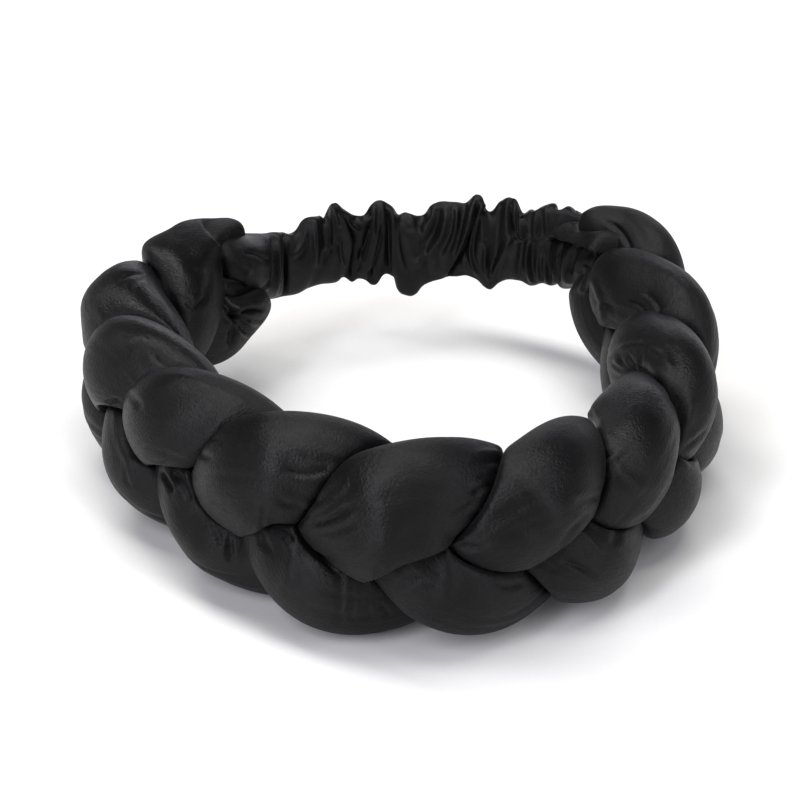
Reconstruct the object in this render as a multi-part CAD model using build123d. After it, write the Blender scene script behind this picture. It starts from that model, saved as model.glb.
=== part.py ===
from build123d import *
import os

import numpy as np

# A braided padded headband. Three stuffed satin tubes are plaited into a flat band that runs round
# the head, and a gathered casing with a flat elastic inside closes the ring at the nape.
# The ring stands on its lower edge. +Z is up, the forehead is at -Y and the nape at +Y.

# The sizes of the ring and the band, ENDS and LOBES were not chosen by hand. They are the rounded
# results of a search that fitted the projected shape to the photograph.

# The ring seen from above, in millimetres and degrees. Its line is the middle of the padding.
RING_HALF_WIDTH = 81.5
RING_HALF_DEPTH = 86.5
EGG_SHARE = 0.045
EGG_TURN = 40.0
SKEW_SHARE = -0.005
RING_TURN = 3.4
BRAID_START = 40.0
BRAID_END = 129.5

# The braid: overall height and depth, and what of each a single stuffed tube takes up. The lean, the
# tilt and the belly bend a tube's path off the plain weave.
BAND_HEIGHT = 60.5
BAND_DEPTH = 35.0
TUBE_HEIGHT_SHARE = 0.53
TUBE_DEPTH_SHARE = 0.70
LEAN_SHARE = 0.07
LEAN_TURN = -78.0
TILT_SHARE = -0.06
BELLY_SHARE = 0.026
TUBE_GAP = 1.1

# Towards its two ends the braid is squeezed together and rises to meet the casing. The first row is
# the braid's start, the second its finish. Squeeze is the share of the full section that is left at
# the end. The rise and the lengths over which it and the squeeze fade are shares of the band's height.
# columns: squeeze, squeeze_length, rise, rise_length
ENDS = [
    (0.62, 0.56, 0.197, 0.78),
    (0.67, 0.68, 0.145, 0.84),
]

# Each tube's end is drawn in over its last stretch, down to a share of its own section.
END_ROUND = 10.0
END_DRAWN = 0.60

# One row per lobe on the upper edge, in order along the braid from its start. The place is a share
# of the braid's length. Upper and lower are how plump the tube is where it crosses the upper and
# the lower edge. The lifts are shares of the band's height, and the two columns for outward are
# shares of its depth.
# columns: place, upper, lower, upper_lift, lower_lift, upper_outward, lower_outward
LOBES = [
    (-0.108, 0.94, 1.08, -0.01, -0.02, 0.04, 0.00),
    (-0.055, 0.93, 1.01, 0.00, -0.03, -0.01, -0.07),
    (0.022, 0.96, 1.09, 0.04, 0.00, 0.04, -0.12),
    (0.108, 1.00, 1.09, 0.00, 0.02, -0.02, 0.00),
    (0.200, 0.98, 1.06, -0.04, 0.00, 0.05, 0.00),
    (0.288, 0.95, 0.95, -0.06, 0.00, 0.02, 0.00),
    (0.388, 1.20, 0.90, -0.06, -0.01, -0.04, 0.00),
    (0.480, 1.10, 0.95, 0.03, 0.01, 0.04, 0.00),
    (0.572, 1.20, 1.00, 0.00, -0.02, -0.05, 0.00),
    (0.673, 1.05, 0.82, 0.02, -0.01, 0.00, -0.02),
    (0.761, 1.03, 0.86, 0.00, 0.02, -0.03, 0.03),
    (0.847, 1.14, 0.99, -0.04, 0.04, 0.08, 0.01),
    (0.940, 1.09, 1.02, -0.03, 0.03, -0.01, -0.16),
    (1.038, 1.00, 0.96, -0.02, -0.03, 0.01, -0.18),
]

# The gathered casing: a flat sleeve, and the cloth that all the sewn walls are made of.
CASING_HEIGHT = 27.0
CASING_DEPTH = 9.0
CASING_SQUARENESS = 2.5
CLOTH = 1.2
SEAM_GAP = 0.6

# Composed from heights that were measured on the photograph's silhouette by a script.
# One row per ruffle or hollow along the casing's edges, from the braid's start to its end. The place
# is a share of the casing's length, middle is the height of its middle line as a share of the band's
# height, rise and drop are shares of the casing's height, and puff is a share of its depth.
# columns: place, middle, rise, drop, puff
RUFFLES = [
    (0.00, 0.700, -0.06, -0.05, 0.00),
    (0.12, 0.678, -0.04, -0.05, 0.00),
    (0.15, 0.672, 0.04, -0.01, 0.10),
    (0.18, 0.665, 0.05, 0.07, -0.05),
    (0.23, 0.653, 0.00, 0.03, 0.10),
    (0.26, 0.647, 0.17, 0.04, 0.25),
    (0.29, 0.642, 0.08, 0.06, 0.00),
    (0.31, 0.638, 0.05, 0.17, 0.15),
    (0.33, 0.633, 0.12, 0.15, 0.05),
    (0.36, 0.628, 0.16, 0.03, 0.20),
    (0.39, 0.623, 0.07, 0.00, -0.05),
    (0.43, 0.615, 0.10, 0.00, 0.05),
    (0.48, 0.605, 0.04, 0.07, 0.10),
    (0.50, 0.603, -0.04, 0.13, 0.15),
    (0.53, 0.603, -0.04, 0.24, 0.20),
    (0.56, 0.603, -0.02, 0.20, 0.05),
    (0.58, 0.603, 0.08, 0.00, -0.10),
    (0.60, 0.603, 0.15, -0.06, 0.20),
    (0.62, 0.605, 0.13, 0.07, 0.25),
    (0.66, 0.608, -0.01, 0.00, -0.10),
    (0.70, 0.610, 0.06, -0.01, 0.15),
    (0.74, 0.608, 0.17, -0.04, 0.25),
    (0.77, 0.605, 0.03, -0.05, 0.00),
    (0.82, 0.600, 0.02, -0.01, 0.10),
    (0.87, 0.588, -0.03, 0.00, 0.00),
    (0.91, 0.582, -0.09, -0.05, 0.00),
    (1.00, 0.580, -0.09, -0.05, 0.00),
]

# The two cloth cuffs over the casing's ends. The places are shares of the casing's length, and the
# rows run from the open mouth to the seam against the braid. Middle is a share of the band's
# height, half_height of the casing's height, outward and half_depth of the casing's depth.
# columns: place, middle, half_height, outward, half_depth
CUFF_START = [
    (0.118, 0.682, 0.520, 0.00, 0.80),
    (0.080, 0.688, 0.515, -0.05, 0.85),
    (0.040, 0.695, 0.520, -0.08, 0.95),
    (0.000, 0.700, 0.530, -0.05, 1.05),
]
CUFF_END = [
    (0.912, 0.577, 0.505, -0.05, 0.75),
    (0.935, 0.580, 0.510, -0.10, 0.80),
    (0.965, 0.588, 0.525, -0.15, 0.90),
    (1.000, 0.600, 0.550, -0.10, 1.00),
]

# The flat elastic that the casing is gathered on.
ELASTIC_THICKNESS = 1.5
ELASTIC_CLEARANCE = 3.2

# How finely each skin is faceted.
ROUTE_STEPS = 1440
TUBE_SIDES = 16
TUBE_RINGS = 84
CASING_SIDES = 14
CASING_RINGS = 54
CUFF_SIDES = 14
CUFF_RINGS = 6
ELASTIC_RINGS = 24
TUBE_COUNT = 3
BLEND_SHARPNESS = 7.0
FULL_CIRCLE = 360.0
FULL_TURN = 2 * np.pi

# A tube is pressed by its neighbours within this share of the band's height to either side, read at
# this many points. A neighbour square to a ray or behind it does not press along that ray.
NEIGHBOUR_REACH_SHARE = 0.91
NEIGHBOUR_STEPS = 67
LEAST_FACING = 0.001


def smooth_step(share):
    """Ease from 0 to 1 as the share goes from 0 to 1."""
    share = np.clip(share, 0.0, 1.0)
    return share * share * (3.0 - 2.0 * share)


def smooth_table(wanted, places, values):
    """A smooth curve through a table's rows, read at the wanted places."""
    places = np.asarray(places, float)
    values = np.asarray(values, float)
    slopes = np.gradient(values, places)
    row = np.clip(np.searchsorted(places, wanted) - 1, 0, len(places) - 2)
    width = places[row + 1] - places[row]
    share = np.clip((wanted - places[row]) / width, 0.0, 1.0)
    ease = smooth_step(share)
    start_pull = share * (1.0 - share) ** 2 * width * slopes[row]
    end_pull = share ** 2 * (1.0 - share) * width * slopes[row + 1]
    return values[row] * (1.0 - ease) + values[row + 1] * ease + start_pull - end_pull


def ring_route():
    """Points round the ring, clockwise from the braid's start, with the length up to each."""
    turned = np.linspace(0.0, FULL_CIRCLE, ROUTE_STEPS + 1)
    angles = np.radians(BRAID_START - turned)
    egg = 1.0 + EGG_SHARE * np.cos(3.0 * (angles - np.radians(EGG_TURN)))
    egg = egg + SKEW_SHARE * np.sin(2.0 * angles)
    across = RING_HALF_WIDTH * np.cos(angles) * egg
    along = RING_HALF_DEPTH * np.sin(angles) * egg
    turn = np.radians(RING_TURN)
    points = np.stack([across * np.cos(turn) - along * np.sin(turn),
                       across * np.sin(turn) + along * np.cos(turn)], axis=1)
    steps = np.linalg.norm(np.diff(points, axis=0), axis=1)
    lengths = np.concatenate([[0.0], np.cumsum(steps)])
    last = np.interp(BRAID_START - BRAID_END + FULL_CIRCLE, turned, lengths)
    return points, lengths, last


ROUTE_POINTS, ROUTE_LENGTHS, BRAID_LENGTH = ring_route()
RING_LENGTH = ROUTE_LENGTHS[-1]
CASING_LENGTH = RING_LENGTH - BRAID_LENGTH
TUBE_HEIGHT = TUBE_HEIGHT_SHARE * BAND_HEIGHT
TUBE_DEPTH = TUBE_DEPTH_SHARE * BAND_DEPTH
LOBE = {name: column for name, column in zip(
    ("place", "upper", "lower", "upper_lift", "lower_lift", "upper_outward", "lower_outward"),
    zip(*LOBES))}
END = {name: column for name, column in zip(
    ("squeeze", "squeeze_length", "rise", "rise_length"), zip(*ENDS))}
RUFFLE = {name: column for name, column in zip(
    ("place", "middle", "rise", "drop", "puff"), zip(*RUFFLES))}


def ring_frame(distance):
    """Place, forward and outward directions at a distance round the ring."""
    inside = np.mod(distance, RING_LENGTH)
    nudge = RING_LENGTH / ROUTE_STEPS

    def read(where):
        where = np.mod(where, RING_LENGTH)
        return np.stack([np.interp(where, ROUTE_LENGTHS, ROUTE_POINTS[:, 0]),
                         np.interp(where, ROUTE_LENGTHS, ROUTE_POINTS[:, 1]),
                         np.zeros_like(where)], axis=-1)

    place = read(inside)
    forward = read(inside + nudge) - read(inside - nudge)
    forward = forward / np.linalg.norm(forward, axis=-1, keepdims=True)
    outward = np.stack([-forward[..., 1], forward[..., 0], np.zeros_like(inside)], axis=-1)
    return place, forward, outward


def near_ends(distance, amounts, lengths):
    """The sum of two amounts, each in full at its end of the braid and fading over its length."""
    from_start = amounts[0] * (1.0 - smooth_step(distance / lengths[0] / BAND_HEIGHT))
    from_finish = amounts[1] * (1.0 - smooth_step((BRAID_LENGTH - distance) / lengths[1] / BAND_HEIGHT))
    return from_start + from_finish


def squeeze(distance):
    """How much of the full section is left."""
    return 1.0 - near_ends(distance, 1.0 - np.array(END["squeeze"]), END["squeeze_length"])


def band_middle(distance):
    """Height of the braid's middle line."""
    return BAND_HEIGHT * (0.5 + near_ends(distance, END["rise"], END["rise_length"]))


def tube_line(number, distance):
    """Centre line of one stuffed tube, its plumpness, and the outward direction."""
    places = np.array(LOBE["place"]) * BRAID_LENGTH
    crossing = smooth_table(distance, places, np.arange(len(LOBES), dtype=float))
    turn = FULL_TURN * (crossing - number) / TUBE_COUNT
    upper = 0.5 + 0.5 * np.cos(turn)

    def lobe_column(name):
        return smooth_table(crossing, np.arange(len(LOBES), dtype=float), LOBE[name])

    size = squeeze(distance)
    swing_up = (BAND_HEIGHT - TUBE_HEIGHT) / 2.0 * size
    swing_out = (BAND_DEPTH - TUBE_DEPTH) / 2.0 * size
    height = swing_up * (np.cos(turn) + LEAN_SHARE * np.cos(2.0 * turn + np.radians(LEAN_TURN)))
    height = height + BAND_HEIGHT * upper * lobe_column("upper_lift")
    height = height + BAND_HEIGHT * (1.0 - upper) * lobe_column("lower_lift")
    out = swing_out * np.sin(2.0 * turn) + TILT_SHARE * swing_up * np.cos(turn)
    out = out + BELLY_SHARE * BAND_DEPTH * size * np.cos(2.0 * turn)
    out = out + BAND_DEPTH * upper * lobe_column("upper_outward")
    out = out + BAND_DEPTH * (1.0 - upper) * lobe_column("lower_outward")
    place, _, outward = ring_frame(distance)
    rise = np.stack([0.0 * height, 0.0 * height, band_middle(distance) + height], axis=-1)
    plump = upper * lobe_column("upper") + (1.0 - upper) * lobe_column("lower")
    return place + outward * out[:, None] + rise, plump * size, outward


def tube_rings(number):
    """Rings of one stuffed tube, each pressed flat where it meets the other two."""
    distance = np.linspace(0.0, BRAID_LENGTH, TUBE_RINGS)
    centre, plump, outward = tube_line(number, distance)
    direction = np.gradient(centre, axis=0)
    direction /= np.linalg.norm(direction, axis=1, keepdims=True)
    side = outward - (outward * direction).sum(axis=1, keepdims=True) * direction
    side /= np.linalg.norm(side, axis=1, keepdims=True)
    over = np.cross(direction, side)
    angles = np.linspace(0.0, FULL_TURN, TUBE_SIDES, endpoint=False)
    rays = np.cos(angles)[None, :, None] * side[:, None] + np.sin(angles)[None, :, None] * over[:, None]
    half_depth = TUBE_DEPTH / 2.0 * plump[:, None]
    half_height = TUBE_HEIGHT / 2.0 * plump[:, None]
    free = 1.0 / np.hypot(np.cos(angles)[None] / half_depth, np.sin(angles)[None] / half_height)

    steps = np.linspace(-1.0, 1.0, NEIGHBOUR_STEPS) * NEIGHBOUR_REACH_SHARE * BAND_HEIGHT
    beside = (distance[:, None] + steps[None]).ravel()
    lines = [tube_line(other, beside)[0].reshape(TUBE_RINGS, NEIGHBOUR_STEPS, 3)
             for other in range(TUBE_COUNT) if other != number]
    to_other = np.concatenate(lines, axis=1) - centre[:, None]
    apart = np.linalg.norm(to_other, axis=2)
    facing = np.einsum("rsk,rnk->rsn", rays, to_other / apart[..., None])
    half_way = (apart[:, None] - TUBE_GAP) / 2.0
    room = np.where(facing > LEAST_FACING, half_way / np.maximum(facing, LEAST_FACING), RING_LENGTH)
    room = room.min(axis=2)
    reach = (free ** -BLEND_SHARPNESS + room ** -BLEND_SHARPNESS) ** (-1.0 / BLEND_SHARPNESS)
    reach = reach * drawn_in(distance)[:, None]
    return square_ends(centre[:, None] + rays * reach[..., None], distance)


def drawn_in(distance):
    """How much of a tube's own section is left beside its gathered ends."""
    from_end = np.clip(np.minimum(distance, BRAID_LENGTH - distance) / END_ROUND, 0.0, 1.0)
    return END_DRAWN + (1.0 - END_DRAWN) * np.sqrt(1.0 - (1.0 - from_end) ** 2)


def square_ends(rings, distance):
    """Bring the two end rings into the seam planes, easing off along the rings beside them."""
    for end in (0.0, BRAID_LENGTH):
        place, forward, _ = ring_frame(np.array([end]))
        near = 1.0 - smooth_step(np.abs(distance - end) / END_ROUND)
        lean = np.sign(BRAID_LENGTH / 2.0 - end)
        ahead = ((rings - place[0]) * forward[0]).sum(axis=2) * lean
        wanted = np.maximum(ahead, 0.0) * (1.0 - near[:, None]) + np.abs(distance - end)[:, None] * near[:, None]
        rings = rings + (wanted - ahead)[..., None] * near[:, None, None] * forward[0] * lean
    return rings


def flat_rings(distance, middle, top, bottom, inner, outer, sides, squareness):
    """Rings of a flat sleeve whose four reaches from its middle line may all differ."""
    angles = np.linspace(0.0, FULL_TURN, sides, endpoint=False)
    bend = 2.0 / squareness
    across = np.sign(np.cos(angles)) * np.abs(np.cos(angles)) ** bend
    up = np.sign(np.sin(angles)) * np.abs(np.sin(angles)) ** bend
    place, _, outward = ring_frame(distance)
    out = np.where(across[None] > 0.0, outer[:, None], inner[:, None]) * across[None]
    height = np.where(up[None] > 0.0, top[:, None], bottom[:, None]) * up[None] + middle[:, None]
    rings = place[:, None] + outward[:, None] * out[..., None]
    rings[..., 2] += height
    return rings


def skin_faces(rings, outward_facing):
    """Triangles between one ring and the next."""
    faces = []
    count = rings.shape[1]
    for first, second in zip(rings[:-1], rings[1:]):
        for corner in range(count):
            following = (corner + 1) % count
            quad = [first[corner], first[following], second[following], second[corner]]
            if not outward_facing:
                quad.reverse()
            faces.append((quad[0], quad[1], quad[2]))
            faces.append((quad[0], quad[2], quad[3]))
    return faces


def cap_faces(ring):
    """Triangles from a ring to its middle."""
    middle = ring.mean(axis=0)
    count = len(ring)
    return [(ring[corner], ring[(corner + 1) % count], middle) for corner in range(count)]


def solid_from(triangles):
    """One closed solid from triangles that share their edges."""
    faces = [Face(Wire.make_polygon([Vector(*corner) for corner in triangle]))
             for triangle in triangles.tolist()]
    return Solid(Shell(faces))


def closed_tube(rings):
    """A stuffed or solid length, closed at both ends."""
    return np.array(skin_faces(rings, True) + cap_faces(rings[0][::-1]) + cap_faces(rings[-1]))


def open_sleeve(outer, inner):
    """A hollow length with both ends open: an outer skin, an inner skin and a rim at each end."""
    rims = skin_faces(np.stack([inner[0], outer[0]]), True)
    rims += skin_faces(np.stack([outer[-1], inner[-1]]), True)
    return np.array(skin_faces(outer, True) + skin_faces(inner, False) + rims)


def casing_reaches(share):
    """Middle line, upper and lower reach and half depth of the casing's outside."""
    middle = BAND_HEIGHT * smooth_table(share, RUFFLE["place"], RUFFLE["middle"])
    top = CASING_HEIGHT * (0.5 + smooth_table(share, RUFFLE["place"], RUFFLE["rise"]))
    bottom = CASING_HEIGHT * (0.5 + smooth_table(share, RUFFLE["place"], RUFFLE["drop"]))
    half_depth = CASING_DEPTH / 2.0 * (1.0 + smooth_table(share, RUFFLE["place"], RUFFLE["puff"]))
    return middle, top, bottom, half_depth


def casing_distance(share):
    """Distance round the ring of a share of the casing, which runs back from the braid's start."""
    return RING_LENGTH - share * CASING_LENGTH


def make_casing():
    """The gathered sleeve, ruffled along both edges, with its two ends tucked in the cuffs."""
    tuck = SEAM_GAP / CASING_LENGTH
    share = np.linspace(1.0 - tuck, tuck, CASING_RINGS)
    middle, top, bottom, depth = casing_reaches(share)
    distance = casing_distance(share)
    skins = [flat_rings(distance, middle, top - wall, bottom - wall, depth - wall, depth - wall,
                        CASING_SIDES, CASING_SQUARENESS) for wall in (0.0, CLOTH)]
    return open_sleeve(*skins)


def make_elastic():
    """The plain flat elastic inside the casing."""
    tuck = SEAM_GAP / CASING_LENGTH
    share = np.linspace(1.0 - tuck, tuck, ELASTIC_RINGS)
    middle = casing_reaches(share)[0]
    half_width = CASING_HEIGHT / 2.0 - CLOTH - ELASTIC_CLEARANCE
    place, _, outward = ring_frame(casing_distance(share))
    corners = [(1, 1), (-1, 1), (-1, -1), (1, -1)]
    rings = np.stack([place + outward * side * ELASTIC_THICKNESS / 2.0
                      + np.stack([0.0 * middle, 0.0 * middle, middle + up * half_width], axis=-1)
                      for side, up in corners], axis=1)
    return closed_tube(rings)


def make_cuff(rows):
    """A short cloth cuff over one end of the casing."""
    place, middle, half_height, outward, half_depth = (np.array(column) for column in zip(*rows))
    seam = place[-1]
    clear = SEAM_GAP / CASING_LENGTH * np.sign(place[0] - seam)
    share = np.linspace(place[0], seam + clear, CUFF_RINGS)
    order = np.argsort(place)

    def column(values):
        return smooth_table(share, place[order], values[order])

    height = BAND_HEIGHT * column(middle)
    tall = CASING_HEIGHT * column(half_height)
    shift = CASING_DEPTH * column(outward)
    deep = CASING_DEPTH * column(half_depth)
    distance = casing_distance(share)
    skins = [flat_rings(distance, height, tall - wall, tall - wall, deep - shift - wall,
                        deep + shift - wall, CUFF_SIDES, CASING_SQUARENESS) for wall in (0.0, CLOTH)]
    if distance[0] > distance[-1]:
        skins = [skin[::-1] for skin in skins]
    return open_sleeve(*skins)


def main():
    """Build every piece, stand the ring on its lower edge and write one file per piece."""
    pieces = {f"braid_strand_{letter}": closed_tube(tube_rings(number))
              for number, letter in enumerate("abc")}
    pieces["back_casing"] = make_casing()
    pieces["end_cuff_right"] = make_cuff(CUFF_START)
    pieces["end_cuff_left"] = make_cuff(CUFF_END)
    pieces["elastic_band"] = make_elastic()
    corners = np.concatenate([triangles.reshape(-1, 3) for triangles in pieces.values()])
    low, high = corners.min(axis=0), corners.max(axis=0)
    base = np.array([(low[0] + high[0]) / 2.0, (low[1] + high[1]) / 2.0, low[2]])
    os.makedirs("parts", exist_ok=True)
    for name, triangles in pieces.items():
        export_step(solid_from(triangles - base), f"parts/{name}.step")


main()
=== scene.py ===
import bmesh
import bpy
import numpy as np
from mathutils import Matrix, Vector


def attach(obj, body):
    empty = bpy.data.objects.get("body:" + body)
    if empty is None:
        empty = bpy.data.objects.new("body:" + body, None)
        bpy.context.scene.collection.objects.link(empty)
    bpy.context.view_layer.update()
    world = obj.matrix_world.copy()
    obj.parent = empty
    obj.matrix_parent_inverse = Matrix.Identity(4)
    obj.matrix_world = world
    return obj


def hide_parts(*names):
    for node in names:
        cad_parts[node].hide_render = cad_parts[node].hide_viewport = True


bl_info = {
    "name": "Braided Headband",
    "version": (1, 0, 0),
    "blender": (4, 5, 0),
    "location": "View3D > Sidebar > Headband",
    "description": "Dresses the padded headband with its satin strands, gathered casing and cuffs",
    "category": "Object",
}

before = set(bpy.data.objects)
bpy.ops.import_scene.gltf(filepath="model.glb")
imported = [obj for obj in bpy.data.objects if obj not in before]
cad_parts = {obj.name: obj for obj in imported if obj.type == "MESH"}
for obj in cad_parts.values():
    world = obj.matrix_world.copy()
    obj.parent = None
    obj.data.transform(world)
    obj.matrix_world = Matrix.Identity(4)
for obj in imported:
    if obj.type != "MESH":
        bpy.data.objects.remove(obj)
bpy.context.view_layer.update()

# Lengths are in millimetres round the middle of the ring until a piece is placed. This is that
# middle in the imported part's frame.
RING_MIDDLE = np.array([2.998, 9.251, 0.337])
METRES = 0.001

# The photograph's camera: how it looks at the ring, and the picture's middle and scale. The middle
# follows the search that is named below.
CAMERA_RISE = 30.0
CAMERA_DISTANCE = 750.0
AIM_HEIGHT = 30.55
PIXELS_PER_MM = 3.2
PICTURE_X, PICTURE_Y = 410.12, 381.52
PICTURE_SIZE = 800.0
SENSOR = 36.0

# The ring's route and the plait, as the part's source has them. The sizes of the ring and the band,
# the shares and turns, SQUEEZE, RISE, their lengths and LOBES were not chosen by hand. They are the
# rounded results of a search that fitted the projected shape to the photograph.
RING_HALF_WIDTH = 81.5
RING_HALF_DEPTH = 86.5
EGG_SHARE = 0.045
EGG_TURN = 40.0
SKEW_SHARE = -0.005
RING_TURN = 3.4
BRAID_START = 40.0
BRAID_END = 129.5
BAND_HEIGHT = 60.5
BAND_DEPTH = 35.0
TUBE_HEIGHT = 0.53 * BAND_HEIGHT
TUBE_DEPTH = 0.70 * BAND_DEPTH
LEAN_SHARE = 0.07
LEAN_TURN = -78.0
TILT_SHARE = -0.06
BELLY_SHARE = 0.026
TUBE_GAP = 0.25
SQUEEZE = (0.62, 0.67)
SQUEEZE_LENGTH = (0.56, 0.68)
RISE = (0.197, 0.145)
RISE_LENGTH = (0.78, 0.84)
END_ROUND = 10.0
END_DRAWN = 0.60
NEIGHBOUR_REACH = 55.0
FULL_TURN = 2.0 * np.pi

# One row per lobe on the upper edge, along the braid from its start.
# columns: place, upper, lower, upper_lift, lower_lift, upper_outward, lower_outward
LOBES = np.array([
    (-0.108, 0.94, 1.08, -0.01, -0.02, 0.04, 0.00),
    (-0.055, 0.93, 1.01, 0.00, -0.03, -0.01, -0.07),
    (0.022, 0.96, 1.09, 0.04, 0.00, 0.04, -0.12),
    (0.108, 1.00, 1.09, 0.00, 0.02, -0.02, 0.00),
    (0.200, 0.98, 1.06, -0.04, 0.00, 0.05, 0.00),
    (0.288, 0.95, 0.95, -0.06, 0.00, 0.02, 0.00),
    (0.388, 1.20, 0.90, -0.06, -0.01, -0.04, 0.00),
    (0.480, 1.10, 0.95, 0.03, 0.01, 0.04, 0.00),
    (0.572, 1.20, 1.00, 0.00, -0.02, -0.05, 0.00),
    (0.673, 1.05, 0.82, 0.02, -0.01, 0.00, -0.02),
    (0.761, 1.03, 0.86, 0.00, 0.02, -0.03, 0.03),
    (0.847, 1.14, 0.99, -0.04, 0.04, 0.08, 0.01),
    (0.940, 1.09, 1.02, -0.03, 0.03, -0.01, -0.16),
    (1.038, 1.00, 0.96, -0.02, -0.03, 0.01, -0.18),
])

# The casing's silhouette in the picture, along its upper and its lower edge. A first outline came from
# heights that a script measured on the photograph, and these points were placed anew after it.
# columns: x, y
CASING_TOP = np.array([
    (276, 231), (300, 226), (303, 221), (320, 215), (326, 216), (329, 206), (335, 202), (345, 209),
    (357, 215), (367, 212), (370, 207), (377, 201), (388, 200), (392, 205), (397, 214), (405, 212),
    (425, 212), (430, 206), (437, 202), (455, 201), (465, 202), (477, 194), (483, 198), (487, 208),
    (500, 201), (511, 196), (516, 199), (519, 209), (532, 208), (547, 204), (560, 206), (574, 209),
], float)
CASING_BOTTOM = np.array([
    (280, 297), (292, 295), (317, 285), (336, 282), (345, 278), (351, 282), (357, 279), (366, 281),
    (371, 285), (377, 284), (381, 277), (391, 276), (394, 279), (396, 287), (399, 292), (405, 295),
    (412, 296), (418, 293), (422, 288), (430, 283), (440, 279), (450, 277), (470, 277), (478, 280),
    (485, 287), (492, 290), (500, 283), (520, 281), (532, 286), (545, 284), (552, 286), (562, 284),
    (572, 289),
], float)
CASING_DEPTH = 9.0
CASING_SQUARENESS = 2.5
CLOTH = 0.8

# The two cloth cuffs, from the mouth round the casing to the far edge among the strands' ends. The
# place is a share of the casing's length, the rest are millimetres, and raised is how far the side
# towards the head is lifted above the outer side.
# columns: place, middle, half_height, outward, half_depth, raised
CUFF_RIGHT = np.array([
    (0.125, 42.0, 14.4, -1.2, 7.8, 0.5),
    (0.070, 42.6, 14.2, -1.4, 8.6, 1.5),
    (0.010, 43.2, 11.0, -1.2, 10.8, 4.0),
    (-0.050, 45.2, 10.6, -1.2, 10.8, 3.8),
    (-0.110, 49.0, 9.4, -1.4, 10.0, 2.5),
    (-0.160, 53.0, 5.0, 3.0, 5.0, 0.0),
])
CUFF_LEFT = np.array([
    (0.905, 35.6, 11.6, -0.3, 6.8, 1.0),
    (0.950, 36.4, 12.2, -0.8, 8.6, 1.5),
    (1.010, 40.0, 11.4, -2.2, 11.0, 1.8),
    (1.060, 42.6, 11.2, -3.0, 11.8, 1.8),
    (1.120, 44.6, 11.2, -3.0, 11.6, 1.5),
    (1.165, 45.6, 10.2, -1.6, 10.4, 1.0),
    (1.205, 46.0, 8.8, 1.0, 8.0, 0.0),
])
# How far each cuff's mouth is cut back, as a share of the casing's length, at heights from its lower
# edge, -1, to its upper edge, 1.
# columns: height, right, left
MOUTH = np.array([
    (-1.0, 0.050, 0.000), (-0.5, 0.028, 0.000), (0.0, 0.010, 0.000), (0.36, 0.000, 0.000),
    (0.65, 0.040, 0.000), (0.88, 0.075, 0.000), (1.0, 0.105, 0.000),
])
# Where the strands' ends slip into a cuff, in millimetres round the ring: untouched at the first
# place and wholly inside from the second. A side below 0 lies under the cuff instead.
# columns of each piece: cuff, from, to, side
TUCKS = {
    "a": [
        ("left", 398.5, 404.0, 1),
        ("right", 9.0, 3.0, 1),
    ],
    "b": [
        ("left", 369.0, 379.0, 1),
        ("right", 13.0, 6.0, 1),
    ],
    "c": [
        ("left", 374.0, 384.0, -1),
    ],
}

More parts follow.
